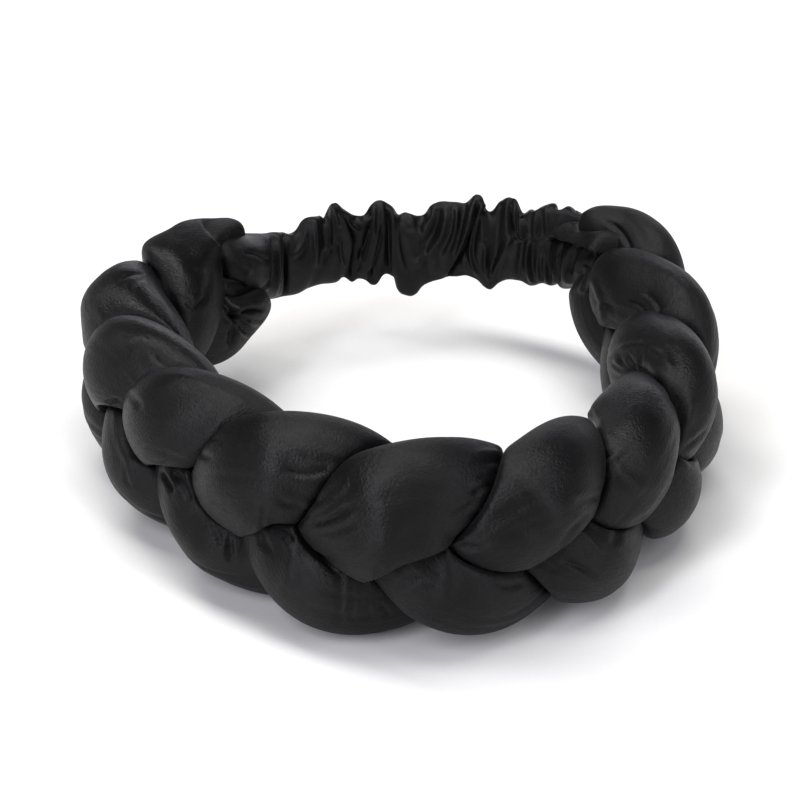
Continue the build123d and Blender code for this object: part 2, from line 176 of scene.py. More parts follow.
# Folds seen in the picture. Each runs from one picture point to another and bows to its left by so
# many pixels. Width is in pixels and depth in millimetres, and a depth below nothing is a ridge. Root
# is the share of full depth at the start. Lip is how far the fold is a step instead of a groove: the
# cloth on its left then lies over the cloth on its right.
# columns of each piece: from x, from y, to x, to y, bow, width, depth, root, lip
FOLDS = {
    "a": [
        (205, 298, 195, 308, 0, 3.0, 1.3, 1.0, 0),
        (184, 299, 192, 308, 0, 3.0, 1.0, 0.6, 0),
        (211, 268, 202, 296, 3, 5.0, 1.1, 0.4, 0),
        (172, 236, 190, 282, -4, 12.0, -0.9, 0.3, 0),
        (219, 241, 200, 217, 1, 3.6, 2.4, 1.0, 0.9),
        (245, 392, 168, 460, 12, 12.0, -0.8, 0.4, 0),
        (232, 418, 182, 462, 9, 8.0, 1.0, 0.5, 0),
        (142, 461, 153, 466, -1, 2.6, 2.2, 1.0, 0.6),
        (156, 470, 172, 456, 1, 3.0, 0.8, 0.9, 0),
        (126, 392, 140, 410, 2, 4.0, 0.8, 0.7, 0),
        (507, 466, 577, 516, -5, 16.0, -0.6, 0.5, 0),
        (472, 514, 506, 556, -3, 13.0, -0.6, 0.5, 0),
        (505, 500, 552, 540, -4, 13.0, 1.1, 0.4, 0),
        (584, 519, 560, 550, -3, 4.0, 1.4, 1.0, 0),
        (462, 545, 482, 548, -2, 3.0, 1.1, 1.0, 0),
        (468, 536, 484, 536, -1, 3.0, 0.8, 1.0, 0),
        (596, 498, 576, 500, 1, 4.0, 1.0, 1.0, 0),
        (592, 280, 603, 330, 3, 3.5, -1.1, 0.6, 0),
        (596, 302, 616, 311, 1, 3.6, 1.0, 0.7, 0),
        (600, 328, 616, 321, 1, 3.0, 0.9, 0.7, 0),
        (657, 310, 641, 294, -3, 2.6, 1.7, 1.0, 0.8),
        (644, 311, 624, 303, -3, 2.6, 1.5, 0.9, 0.5),
        (650, 268, 690, 300, 6, 10.0, -0.8, 0.4, 0),
        (275, 527, 294, 541, 1, 3.6, 1.7, 0.9, 0),
        (308, 523, 342, 577, -4, 3.0, 1.3, 0.9, 0.5),
        (290, 530, 281, 604, 5, 9.0, -1.0, 0.5, 0),
        (342, 578, 340, 626, 1, 3.5, 1.4, 0.7, 0.3),
        (352, 588, 350, 622, 1, 3.0, 1.1, 0.6, 0),
        (366, 598, 369, 622, 0, 4.0, 0.7, 0.6, 0),
        (380, 604, 389, 619, 1, 3.0, 1.3, 0.7, 0),
        (262, 534, 272, 552, -2, 4.0, 1.0, 0.9, 0),
        (686, 456, 693, 464, 0, 3.0, 1.4, 1.0, 0),
    ],
    "b": [
        (165, 366, 150, 351, 3, 3.0, 1.7, 1.0, 0.6),
        (106, 402, 120, 400, 1, 2.6, 1.1, 1.0, 0),
        (110, 410, 119, 406, 1, 2.2, 0.8, 1.0, 0),
        (126, 352, 148, 338, 4, 10.0, -0.7, 0.3, 0),
        (312, 518, 347, 472, -6, 4.0, -1.0, 0.8, 0),
        (309, 506, 333, 484, -3, 3.5, 1.4, 1.0, 0),
        (318, 523, 349, 506, -3, 3.6, 2.1, 1.0, 0),
        (314, 517, 338, 494, -3, 3.0, 1.5, 1.0, 0),
        (326, 533, 352, 524, -2, 3.5, 1.1, 1.0, 0),
        (348, 474, 402, 562, 8, 18.0, -0.7, 0.4, 0),
        (470, 457, 504, 456, 4, 4.0, -1.2, 0.4, 0),
        (504, 462, 484, 464, -2, 3.0, 1.4, 1.0, 0),
        (490, 483, 472, 493, 1, 3.0, 1.8, 1.0, 0),
        (496, 472, 478, 478, 1, 3.0, 1.0, 1.0, 0),
        (450, 516, 476, 500, -1, 2.8, 1.3, 0.5, 0.4),
        (425, 570, 412, 556, 2, 4.0, 0.8, 1.0, 0),
        (382, 582, 380, 566, 1, 3.5, 0.8, 1.0, 0),
        (632, 371, 612, 363, 2, 2.6, 1.2, 1.0, 0),
        (631, 370, 619, 357, 1, 2.4, 1.1, 1.0, 0),
        (632, 369, 628, 354, -1, 2.2, 0.9, 1.0, 0),
        (635, 369, 641, 352, -2, 2.4, 0.9, 1.0, 0),
        (616, 352, 648, 345, 3, 4.0, -1.1, 0.5, 0),
        (634, 364, 664, 398, 6, 6.0, 2.4, 0.9, 0.3),
        (652, 350, 672, 374, 4, 5.0, -1.2, 0.5, 0),
        (686, 446, 706, 428, -1, 3.0, 1.1, 0.7, 0.4),
        (692, 454, 713, 432, -2, 3.0, 1.0, 0.7, 0.4),
        (690, 395, 682, 430, 4, 7.0, -0.8, 0.4, 0),
        (162, 474, 173, 493, 2, 3.0, 1.7, 1.0, 0),
        (178, 476, 190, 500, 2, 4.5, 1.4, 1.0, 0),
        (168, 510, 204, 560, -5, 10.0, -0.8, 0.4, 0),
        (229, 540, 231, 562, 0, 3.5, 1.4, 0.8, 0),
        (214, 528, 222, 548, 1, 4.0, 0.8, 0.8, 0),
        (592, 577, 560, 562, -3, 3.4, 1.7, 0.7, 0.5),
        (572, 525, 604, 556, 3, 6.0, -0.8, 0.6, 0),
        (588, 514, 601, 521, 0, 3.0, 2.0, 1.0, 0),
        (540, 560, 556, 572, 0, 4.0, 0.8, 0.7, 0),
        (618, 520, 612, 548, 2, 5.0, 0.8, 0.6, 0),
        (585, 280, 598, 344, -5, 3.5, 2.8, 0.8, 0),
    ],
    "c": [
        (121, 276, 145, 273, 2, 2.8, 1.3, 1.0, 0.5),
        (131, 288, 146, 277, 2, 3.0, 0.8, 0.4, 0),
        (98, 300, 112, 326, -3, 7.0, -0.7, 0.4, 0),
        (262, 414, 268, 526, 4, 18.0, -0.7, 0.5, 0),
        (200, 446, 218, 438, 2, 3.0, 1.5, 1.0, 0),
        (196, 452, 212, 458, -1, 3.5, 1.1, 1.0, 0),
        (327, 471, 283, 470, 5, 3.2, 2.0, 1.0, 0.5),
        (338, 462, 300, 452, 4, 5.0, 0.8, 0.9, 0),
        (300, 506, 278, 500, 2, 4.0, 1.0, 0.9, 0),
        (246, 533, 256, 512, -2, 3.5, 0.8, 0.9, 0),
        (262, 526, 266, 505, 1, 3.0, 0.7, 0.9, 0),
        (592, 418, 602, 458, 4, 4.0, 2.0, 0.8, 0.4),
        (587, 402, 600, 424, 3, 5.0, -1.0, 0.8, 0),
        (606, 473, 625, 448, 4, 3.0, -1.1, 0.6, 0),
        (601, 470, 616, 452, 3, 3.0, 1.1, 0.8, 0),
        (608, 462, 650, 492, -4, 9.0, -1.0, 0.5, 0),
        (634, 520, 664, 498, -4, 3.0, 1.3, 0.6, 0.5),
        (640, 385, 664, 398, 3, 8.0, -0.6, 0.4, 0),
        (630, 250, 606, 221, -4, 2.8, 1.9, 1.0, 0.2),
        (640, 222, 668, 246, 4, 8.0, -0.7, 0.4, 0),
        (122, 448, 130, 482, 2, 6.0, -0.9, 0.5, 0),
        (126, 470, 127, 486, 0, 2.6, 0.8, 0.6, 0),
        (445, 540, 464, 553, -1, 3.0, 1.3, 0.9, 0.4),
        (445, 542, 443, 606, 5, 9.0, -0.9, 0.5, 0),
        (402, 584, 428, 580, 3, 3.0, 1.3, 0.9, 0),
        (478, 556, 500, 572, 2, 5.0, 0.7, 0.7, 0),
        (520, 584, 500, 586, 1, 4.0, 0.8, 1.0, 0),
        (236, 314, 264, 309, 2, 3.0, 3.4, 1.0, 0.4),
        (237, 317, 266, 322, -2, 3.4, 3.1, 1.0, 0),
        (236, 319, 254, 338, -2, 3.4, 2.8, 1.0, 0),
        (234, 320, 231, 349, 1, 3.0, 2.5, 1.0, 0.5),
        (234, 314, 222, 300, 1, 3.0, 1.3, 1.0, 0),
        (232, 315, 237, 319, 0, 3.4, 5.6, 1.0, 0),
    ],
    "cuff_left": [
        (277, 238, 275, 297, 3, 2.0, -1.2, 1.0, 0),
        (272, 240, 270, 292, 3, 3.0, 1.5, 1.0, 0),
        (267, 261, 244, 252, -1, 3.6, 1.8, 0.7, 0.5),
        (220, 254, 221, 286, 2, 6.0, 2.4, 0.6, 0),
        (262, 238, 258, 288, -3, 9.0, -1.2, 0.4, 0),
        (242, 288, 214, 285, -2, 3.5, 3.0, 0.8, 0.6),
        (216, 295, 238, 293, 1, 5.0, -3.0, 0.5, 0),
        (240, 305, 268, 290, -2, 3.2, 1.8, 0.9, 0.5),
        (258, 292, 271, 281, 0, 2.8, 1.4, 0.8, 0),
        (238, 262, 250, 274, 2, 5.0, -1.4, 0.6, 0),
    ],
    "cuff_right": [
        (548, 238, 640, 278, 6, 8.0, 5.2, 1.0, 1.0),
        (554, 243, 557, 287, -1, 5.5, 4.6, 1.0, 0),
        (567, 250, 567, 280, 0, 5.0, 4.0, 0.8, 0),
        (590, 276, 566, 283, 2, 3.0, -1.0, 0.7, 0),
        (584, 256, 597, 259, 0, 3.4, 1.8, 1.0, 0),
    ],
    "casing": [
        (284, 236, 283, 296, 1, 3.0, 2.3, 1.0, 0),
        (305, 235, 291, 257, 3, 2.8, -1.3, 0.5, 0),
        (315, 224, 316, 266, 0, 4.0, -1.8, 0.6, 0),
        (325, 210, 331, 256, -2, 6.0, 2.2, 0.8, 0),
        (345, 277, 333, 205, -13, 4.0, 3.5, 0.9, 0.9),
        (340, 238, 344, 266, -2, 2.1, -1.3, 0.6, 0),
        (336, 208, 341, 228, 1, 3.0, 1.2, 0.8, 0),
        (356, 214, 366, 232, -4, 3.4, 1.7, 0.8, 0),
        (371, 211, 357, 274, 5, 4.0, 3.2, 0.9, 0.9),
        (367, 279, 381, 226, -3, 4.0, 2.6, 0.9, 0.8),
        (374, 206, 373, 236, 0, 2.9, -1.3, 0.8, 0),
        (391, 203, 391, 278, 0, 4.0, 3.5, 1.0, 0.9),
        (398, 232, 406, 274, -2, 2.4, -1.4, 0.6, 0),
        (405, 214, 413, 232, -2, 5.0, 1.3, 0.9, 0),
        (426, 214, 418, 232, -2, 5.0, 1.2, 0.9, 0),
        (446, 218, 409, 268, 8, 4.0, -1.9, 0.5, 0),
        (438, 212, 420, 246, 5, 4.0, 1.3, 0.9, 0),
        (457, 212, 444, 256, 4, 2.9, -1.8, 0.7, 0),
        (449, 272, 476, 203, -4, 4.5, 4.1, 0.9, 1),
        (483, 206, 470, 244, -3, 2.7, -2.2, 0.8, 0),
        (470, 243, 478, 276, -4, 2.4, -1.9, 0.8, 0),
        (497, 206, 494, 278, 0, 8.0, 2.3, 0.9, 0),
        (486, 250, 488, 280, -2, 2.4, -1.6, 0.6, 0),
        (511, 240, 492, 280, -2, 3.2, -1.6, 0.6, 0),
        (516, 200, 520, 241, -5, 4.0, 2.6, 0.9, 0.8),
        (521, 218, 523, 241, 0, 2.4, -1.6, 0.8, 0),
        (529, 244, 532, 284, -3, 2.7, -1.9, 0.8, 0),
        (522, 243, 519, 280, -1, 4.0, 1.7, 0.8, 0),
        (536, 216, 535, 238, 0, 3.2, -1.4, 0.6, 0),
        (546, 208, 548, 236, 0, 3.2, -1.3, 0.8, 0),
        (541, 260, 544, 284, -2, 2.4, 1.4, 0.8, 0),
        (549, 262, 551, 286, -1, 2.4, 1.4, 0.8, 0),
        (485, 242, 465, 241, 0, 1.8, 0.9, 1.0, 0),
        (549, 241, 507, 240, 0, 1.8, 1.0, 1.0, 0),
    ],
}

# Places pulled out of the plain weave, as a hand would shape them in the picture.
# columns of each piece: from x, from y, to x, to y, reach
PULLS = {
    "a": [
        (206, 240, 216, 241, 30),
        (154, 250, 144, 246, 30),
        (230, 228, 243, 224, 24),
    ],
    "b": [
        (376, 572, 377, 583, 60),
        (430, 556, 437, 560, 36),
        (586, 275, 581, 288, 24),
        (214, 545, 210, 549, 40),
    ],
    "c": [
        (240, 526, 248, 533, 38),
        (590, 216, 579, 211, 34),
        (256, 308, 269, 303, 36),
        (84, 300, 80, 300, 40),
        (82, 356, 77, 357, 44),
        (591, 404, 578, 409, 34),
        (704, 420, 708, 420, 40),
    ],
}

# How far a pulled place also comes towards the camera, as a share of its move in the picture.
PULL_LIFT = 0.6

# Only a piece's near side is folded or pulled. Near is a depth in millimetres behind the piece's
# nearest points, and the effect fades out over the last of it.
NEAREST_PERCENT = 5.0
FOLD_NEAR, FOLD_NEAR_FADE = 26.0, 10.0
PULL_NEAR, PULL_NEAR_FADE = 30.0, 12.0
# A fold fades where the cloth turns from the camera, deepens over its start and ends a little beyond
# its last point. Start, finish and fade are shares of its length. Spread is how many widths from its
# line the piece's nearest points are looked for.
FOLD_TURNED, CASING_FOLD_TURNED = 0.35, 0.65
FOLD_SPREAD = 6.0
FOLD_START = 0.3
FOLD_FINISH, FOLD_FINISH_FADE = 1.08, 0.32
# A groove's heaped sides, and a step's dip and rise with the pixels that it is blended over.
HEAP_SHARE, HEAP_SPREAD = 0.42, 5.0
DIP_SPREAD = 2.2
RISE_SHARE, RISE_SPREAD = 0.30, 1.6
STEP_BLEND = 2.4

# A strand's soft swells, and the creases near each place where the plait grips it. A pair is the range
# that a number is drawn from. Lengths are in millimetres.
STRAND_RADIUS = 15.0
SWELLS = 9
SWELL_LENGTH = (28.0, 70.0)
SWELL_WAVES = (1, 4)
SWELL_HEIGHT = 0.13
GRIP_STEP = 1.0
GRIP_CREASES = 9
CREASE_OFFSET = (-12.0, 12.0)
CREASE_REACH = (9.0, 20.0)
CREASE_SLOPE = (-0.35, 0.35)
CREASE_WIDTH = (1.1, 2.3)
CREASE_DEPTH = (0.12, 0.42)
CREASE_FADE = 2.5

# The gathers of the casing and the cuffs. Some start a little beyond the cloth's ends, some lie on the
# side towards the head, and those on the outer side are deeper. Face edge is how sharply each keeps
# to its own side.
GATHER_MARGIN = 4.0
GATHER_LEAN = (-6.0, 6.0)
GATHER_REACH = (0.5, 1.2)
HEAD_SIDE_SHARE = 0.35
OUTER_DEPTH = 1.9
FACE_EDGE = 1.5
CASING_GATHERS, CASING_GATHER_WIDTH, CASING_GATHER_DEPTH = 90, (1.2, 2.6), (0.3, 0.9)
CUFF_GATHERS, CUFF_GATHER_WIDTH, CUFF_GATHER_DEPTH = 10, (1.4, 2.4), (0.1, 0.35)

# The plain sleeve's first and last place, as shares of the casing's length, and how far it stays
# inside the silhouette above and below.
CASING_FIRST, CASING_LAST = 0.996, 0.004
CASING_TRIM_TOP, CASING_TRIM_BOTTOM = 0.6, 0.5
# How far past the casing's ends the back of the ring is searched, and at how many places.
WALL_MARGIN = 12.0
WALL_PLACES = 3000

# A strand's end inside a cuff keeps to this share of the cuff's section, from the floor upwards. An
# end under a cuff stays this share of half the cuff's height below it.
TUCK_ROOM = 0.9
TUCK_FLOOR, TUCK_FLOOR_FADE = -1.3, 0.35
UNDER_GAP = 0.04
LEAST_SIZE = 0.01

# The cloth's own measures: its half width and half thickness, and how far apart the pieces' patterns
# start, so that no two are alike.
CASING_WIDE, SLEEVE_TALL = 11.0, 14.0
STRAND_APART, CASING_APART, CUFF_APART = 900.0, 4000.0, 6000.0

# Satin. Scales are in repeats per metre. Shares say how much each pattern adds.
MOTTLE_SCALE = 38.0
STREAK_SCALE = 750.0
RIPPLE_SCALE = (420.0, 150.0, 150.0)
PEBBLE_SCALE = (2300.0, 1500.0, 1500.0)
MOTTLE_CONTRAST, MOTTLE_CUT = 2.4, 0.7
# The mottle paints the satin's colour between a darker tone and a lighter, redder painted sheen tint, in
# random patches. It also varies the roughness.
DEEP_TINT = 0.8
SHEEN_PATCH_TINT = (1.25, 1.1, 1.1)
STREAK_ROUGH, MOTTLE_ROUGH, PEBBLE_ROUGH = 0.16, 0.14, 0.2
STREAK_HEIGHT, RIPPLE_HEIGHT, PEBBLE_HEIGHT = 0.40, 0.35, 0.55
# The weave of the elastic and the grain of the floor.
WEAVE_SCALE = (900.0, 900.0, 260.0)
WEAVE_TINT = 1.06

# Soft lights round the middle of the plait. Places and sizes are in metres.
# columns: name, place, wide, tall, share of the key light's power, colour
WARM_WHITE = (1.0, 0.99, 0.97)
COOL_WHITE = (0.94, 0.93, 1.0)
LIGHTS = [
    ("top_light", (-0.15, 0.10, 1.4), 0.45, 1.8, 0.90, WARM_WHITE),
    ("left_light", (-0.72, -0.95, 0.85), 0.26, 1.4, 0.50, COOL_WHITE),
    ("right_light", (1.00, -0.70, 0.80), 0.30, 1.4, 0.26, COOL_WHITE),
    ("back_light", (0.25, 1.30, 0.28), 1.1, 0.5, 0.12, COOL_WHITE),
]
FLOOR_HALF_WIDTH = 6.0
CAMERA_REACH = 20.0

# How finely each piece is made. The end rings are those of a strand that a cuff can hold.
STRANDS = {"a": 0, "b": 1, "c": 2}
STRAND_RINGS = 690
STRAND_SIDES = 140
CAP_ROWS = 10
CASING_RINGS = 330
CASING_SIDES = 120
CUFF_RINGS = 70
CUFF_SIDES = 150
RIGHT_END_RINGS, LEFT_END_RINGS = 86, 115
# How finely the ring's route and a strand's neighbours are read, in places and in millimetres.
ROUTE_PLACES = 1441
ROUTE_STEP = 0.4
NEIGHBOUR_PLACES = 91
LEAST_FACING = 0.001
# Points and edges of a finished mesh that are nearer or shorter than this, in metres, are merged.
MERGE_DISTANCE = 2e-6
EMPTY_EDGE = 1e-7
# Where the random draws of each kind of piece start.
STRAND_SEED, CASING_SEED, CUFF_SEED = 7, 12, 18


def smooth_step(share):
    """Ease from 0 to 1 as the share goes from 0 to 1."""
    share = np.clip(share, 0.0, 1.0)
    return share * share * (3.0 - 2.0 * share)


def smooth_table(wanted, places, values):
    """A smooth curve through a table's rows, read at the wanted places."""
    places = np.asarray(places, float)
    values = np.asarray(values, float)
    slopes = np.gradient(values, places)
    row = np.clip(np.searchsorted(places, wanted) - 1, 0, len(places) - 2)
    width = places[row + 1] - places[row]
    share = np.clip((wanted - places[row]) / width, 0.0, 1.0)
    ease = smooth_step(share)
    start_pull = share * (1.0 - share) ** 2 * width * slopes[row]
    end_pull = share ** 2 * (1.0 - share) * width * slopes[row + 1]
    return values[row] * (1.0 - ease) + values[row + 1] * ease + start_pull - end_pull


def ring_route():
    """Points round the ring, clockwise from the braid's start, with the length up to each."""
    turned = np.linspace(0.0, 360.0, ROUTE_PLACES)
    angles = np.radians(BRAID_START - turned)
    egg = 1.0 + EGG_SHARE * np.cos(3.0 * (angles - np.radians(EGG_TURN)))
    egg = egg + SKEW_SHARE * np.sin(2.0 * angles)
    across = RING_HALF_WIDTH * np.cos(angles) * egg
    along = RING_HALF_DEPTH * np.sin(angles) * egg
    turn = np.radians(RING_TURN)
    points = np.stack([across * np.cos(turn) - along * np.sin(turn),
                       across * np.sin(turn) + along * np.cos(turn)], axis=1)
    lengths = np.concatenate([[0.0], np.cumsum(np.linalg.norm(np.diff(points, axis=0), axis=1))])
    return points, lengths, np.interp(BRAID_START - BRAID_END + 360.0, turned, lengths)


ROUTE, ROUTE_LENGTHS, BRAID_LENGTH = ring_route()
RING_LENGTH = ROUTE_LENGTHS[-1]
CASING_LENGTH = RING_LENGTH - BRAID_LENGTH


def ring_frame(distance):
    """Place, forward direction and outward direction at a distance round the ring."""
    def read(where):
        where = np.mod(where, RING_LENGTH)
        return np.stack([np.interp(where, ROUTE_LENGTHS, ROUTE[:, 0]),
                         np.interp(where, ROUTE_LENGTHS, ROUTE[:, 1]), 0.0 * where], axis=-1)

    forward = read(distance + ROUTE_STEP) - read(distance - ROUTE_STEP)
    forward /= np.linalg.norm(forward, axis=-1, keepdims=True)
    outward = np.stack([-forward[..., 1], forward[..., 0], 0.0 * distance], axis=-1)
    return read(distance), forward, outward


def near_ends(distance, amounts, lengths):
    """The sum of two amounts, each in full at its end of the braid and fading over its length."""
    from_start = amounts[0] * (1.0 - smooth_step(distance / lengths[0] / BAND_HEIGHT))
    from_finish = amounts[1] * (1.0 - smooth_step((BRAID_LENGTH - distance) / lengths[1] / BAND_HEIGHT))
    return from_start + from_finish


def tube_line(number, distance):
    """Centre line of one strand, its plumpness, the outward direction and its turn in the plait."""
    crossing = smooth_table(distance, LOBES[:, 0] * BRAID_LENGTH, np.arange(len(LOBES)))
    turn = FULL_TURN * (crossing - number) / 3.0
    upper = 0.5 + 0.5 * np.cos(turn)
    plump_up, plump_low, lift_up, lift_low, out_up, out_low = (
        smooth_table(crossing, np.arange(len(LOBES)), column) for column in LOBES.T[1:])
    size = 1.0 - near_ends(distance, 1.0 - np.array(SQUEEZE), SQUEEZE_LENGTH)
    middle = BAND_HEIGHT * (0.5 + near_ends(distance, RISE, RISE_LENGTH))
    swing_up = (BAND_HEIGHT - TUBE_HEIGHT) / 2.0 * size
    swing_out = (BAND_DEPTH - TUBE_DEPTH) / 2.0 * size
    height = swing_up * (np.cos(turn) + LEAN_SHARE * np.cos(2.0 * turn + np.radians(LEAN_TURN)))
    height += BAND_HEIGHT * (upper * lift_up + (1.0 - upper) * lift_low)
    out = swing_out * np.sin(2.0 * turn) + TILT_SHARE * swing_up * np.cos(turn)
    out += BELLY_SHARE * BAND_DEPTH * size * np.cos(2.0 * turn)
    out += BAND_DEPTH * (upper * out_up + (1.0 - upper) * out_low)
    place, _, outward = ring_frame(distance)
    centre = place + outward * out[:, None]
    centre[:, 2] += middle + height
    return centre, (upper * plump_up + (1.0 - upper) * plump_low) * size, outward, turn


def squared_ends(rings, distance):
    """Bring the two end rings into the seam planes, easing off along the rings beside them."""
    for end in (0.0, BRAID_LENGTH):
        place, forward, _ = ring_frame(np.array([end]))
        from_end = np.abs(distance - end)
        near = 1.0 - smooth_step(from_end / END_ROUND)
        lean = np.sign(BRAID_LENGTH / 2.0 - end)
        ahead = ((rings - place[0]) * forward[0]).sum(axis=2) * lean
        wanted = np.maximum(ahead, 0.0) * (1.0 - near[:, None]) + from_end[:, None] * near[:, None]
        rings = rings + (wanted - ahead)[..., None] * near[:, None, None] * forward[0] * lean
    return rings


def strand_surface(number, sharpness):
    """Rings of one strand, pressed flat where it meets the other two and closed at its ends, with the
    room left between them."""
    rings_between = STRAND_RINGS - 2 * CAP_ROWS
    distance = np.linspace(0.0, BRAID_LENGTH, rings_between)
    centre, plump, outward, turn = tube_line(number, distance)
    direction = np.gradient(centre, axis=0)
    direction /= np.linalg.norm(direction, axis=1, keepdims=True)
    side = outward - (outward * direction).sum(axis=1, keepdims=True) * direction
    side /= np.linalg.norm(side, axis=1, keepdims=True)
    over = np.cross(direction, side)
    angles = np.linspace(0.0, FULL_TURN, STRAND_SIDES + 1) + np.pi
    rays = np.cos(angles)[None, :, None] * side[:, None] + np.sin(angles)[None, :, None] * over[:, None]
    half_depth = TUBE_DEPTH / 2.0 * plump[:, None]
    half_height = TUBE_HEIGHT / 2.0 * plump[:, None]
    free = 1.0 / np.hypot(np.cos(angles)[None] / half_depth, np.sin(angles)[None] / half_height)
    steps = np.linspace(-NEIGHBOUR_REACH, NEIGHBOUR_REACH, NEIGHBOUR_PLACES)
    beside = (distance[:, None] + steps[None]).ravel()
    lines = [tube_line(other, beside)[0].reshape(len(distance), len(steps), 3)
             for other in STRANDS.values() if other != number]
    to_other = np.concatenate(lines, axis=1) - centre[:, None]
    apart = np.linalg.norm(to_other, axis=2)
    facing = np.matmul(rays, np.swapaxes(to_other / apart[..., None], 1, 2))
    half_way = (apart[:, None] - TUBE_GAP) / 2.0
    room = np.where(facing > LEAST_FACING, half_way / np.maximum(facing, LEAST_FACING), RING_LENGTH)
    room = room.min(axis=2)
    reach = (free ** -sharpness + room ** -sharpness) ** (-1.0 / sharpness)
    slack = np.pad(np.maximum(room - reach, 0.0), ((CAP_ROWS, CAP_ROWS), (0, 0)))
    from_end = np.clip(np.minimum(distance, BRAID_LENGTH - distance) / END_ROUND, 0.0, 1.0)
    reach = reach * (END_DRAWN + (1.0 - END_DRAWN) * np.sqrt(1.0 - (1.0 - from_end) ** 2))[:, None]
    rings = squared_ends(centre[:, None] + rays * reach[..., None], distance)
    arc = np.concatenate([[0.0], np.cumsum(np.linalg.norm(np.diff(centre, axis=0), axis=1))])
    closing = np.linspace(0.0, 1.0, CAP_ROWS, endpoint=False)[:, None, None]
    first, last = rings[0].mean(axis=0), rings[-1].mean(axis=0)
    start_cap = first + (rings[0] - first)[None] * closing
    end_cap = last + (rings[-1] - last)[None] * closing[::-1]
    along = np.concatenate([np.zeros(CAP_ROWS), arc, np.full(CAP_ROWS, arc[-1])])
    turn = np.concatenate([np.full(CAP_ROWS, turn[0]), turn, np.full(CAP_ROWS, turn[-1])])
    return np.concatenate([start_cap, rings, end_cap]), along, angles, turn, slack


def grid_normals(rings):
    """Outward directions of a surface given as rings, whose last column repeats the first."""
    around = np.empty_like(rings)
    around[:, 1:-1] = rings[:, 2:] - rings[:, :-2]
    around[:, 0] = around[:, -1] = rings[:, 1] - rings[:, -2]
    normals = np.cross(around, np.gradient(rings, axis=0))
    normals /= np.maximum(np.linalg.norm(normals, axis=2, keepdims=True), 1e-9)
    return normals


def camera_axes():
    """Where the camera is, and its right, up and forward directions, round the ring's middle."""
    rise = np.radians(CAMERA_RISE)
    forward = np.array([0.0, np.cos(rise), -np.sin(rise)])
    up = np.array([0.0, np.sin(rise), np.cos(rise)])
    eye = np.array([0.0, 0.0, AIM_HEIGHT]) - CAMERA_DISTANCE * forward
    return eye, np.array([1.0, 0.0, 0.0]), up, forward


EYE, RIGHT, UP, FORWARD = camera_axes()
FOCAL = CAMERA_DISTANCE * PIXELS_PER_MM


def in_picture(points):
    """Picture x and y of points, and how far each is from the camera."""
    away = points - EYE
    depth = away @ FORWARD
    return (PICTURE_X + FOCAL * (away @ RIGHT) / depth, PICTURE_Y - FOCAL * (away @ UP) / depth, depth)


def on_wall(x, y):
    """Share of the casing and height where a picture point's ray meets the back of the ring."""
    ray = FORWARD * FOCAL + RIGHT * (x - PICTURE_X) - UP * (y - PICTURE_Y)
    distance = np.linspace(BRAID_LENGTH - WALL_MARGIN, RING_LENGTH + WALL_MARGIN, WALL_PLACES)
    wall = ring_frame(distance)[0][:, :2] - EYE[:2]
    miss = np.abs(wall[:, 0] * ray[1] - wall[:, 1] * ray[0])
    nearest = np.argmin(miss)
    reach = (wall[nearest] @ ray[:2]) / (ray[:2] @ ray[:2])
    return (RING_LENGTH - distance[nearest]) / CASING_LENGTH, EYE[2] + reach * ray[2]


def hat(offset, width):
    """A groove one width wide with its cloth heaped up softly on both sides."""
    ratio = (offset / width) ** 2
    return np.exp(-ratio) - HEAP_SHARE * np.exp(-ratio / HEAP_SPREAD)


def step(offset, width):
    """A layer that ends at the fold's line and lies over the cloth beyond it, which dips under."""
    under = -np.exp(np.minimum(offset, 0.0) / (DIP_SPREAD * width))
    over = RISE_SHARE * np.exp(-np.maximum(offset, 0.0) / (RISE_SPREAD * width))
    return -(under + (over - under) * smooth_step(0.5 + offset / STEP_BLEND))


def picture_folds(piece, rings, normals, strength, turned=FOLD_TURNED):
    """How far each point moves along its normal for the folds seen in the picture."""
    x, y, depth = in_picture(rings)
    to_eye = EYE - rings
    to_eye /= np.linalg.norm(to_eye, axis=2, keepdims=True)
    facing = smooth_step((normals * to_eye).sum(axis=2) / turned)
    moved = np.zeros(rings.shape[:2])
    for x0, y0, x1, y1, bow, width, deep, root, lip in FOLDS[piece]:
        run = np.array([x1 - x0, y1 - y0], float)
        length = np.hypot(*run)
        run /= length
        share = ((x - x0) * run[0] + (y - y0) * run[1]) / length
        inside = np.clip(share, 0.0, 1.0)
        offset = (x - x0) * run[1] - (y - y0) * run[0] - 4.0 * bow * inside * (1.0 - inside)
        beyond = np.maximum(np.maximum(-share, share - 1.0), 0.0) * length
        close = (np.hypot(offset, beyond) < FOLD_SPREAD * width) & (facing > 0.0)
        if not close.any():
            continue
        nearest = np.percentile(depth[close], NEAREST_PERCENT)
        seen = facing * smooth_step((nearest + FOLD_NEAR - depth) / FOLD_NEAR_FADE)
        start = root + (1.0 - root) * smooth_step(share / FOLD_START)
        fade = np.where(share < 0.0, np.exp(-(share * length / width) ** 2), 1.0)
        fade = fade * start * smooth_step((FOLD_FINISH - share) / FOLD_FINISH_FADE)
        fold = hat(offset, width) * (1.0 - lip) + step(offset, width) * lip
        moved -= strength * deep * fold * fade * seen
    return moved


def pulled(piece, rings):
    """The surface after its pulls, made in the picture's plane and a little towards the camera."""
    for x0, y0, x1, y1, reach in PULLS[piece]:
        x, y, depth = in_picture(rings)
        away = np.hypot(x - x0, y - y0)
        nearest = np.percentile(depth[away < reach], NEAREST_PERCENT)
        share = 1.0 - smooth_step(away / reach)
        share = share * smooth_step((nearest + PULL_NEAR - depth) / PULL_NEAR_FADE)
        move = (RIGHT * (x1 - x0) - UP * (y1 - y0)) / PIXELS_PER_MM
        move = move - FORWARD * PULL_LIFT * np.linalg.norm(move)
        rings = rings + share[..., None] * move
    return rings


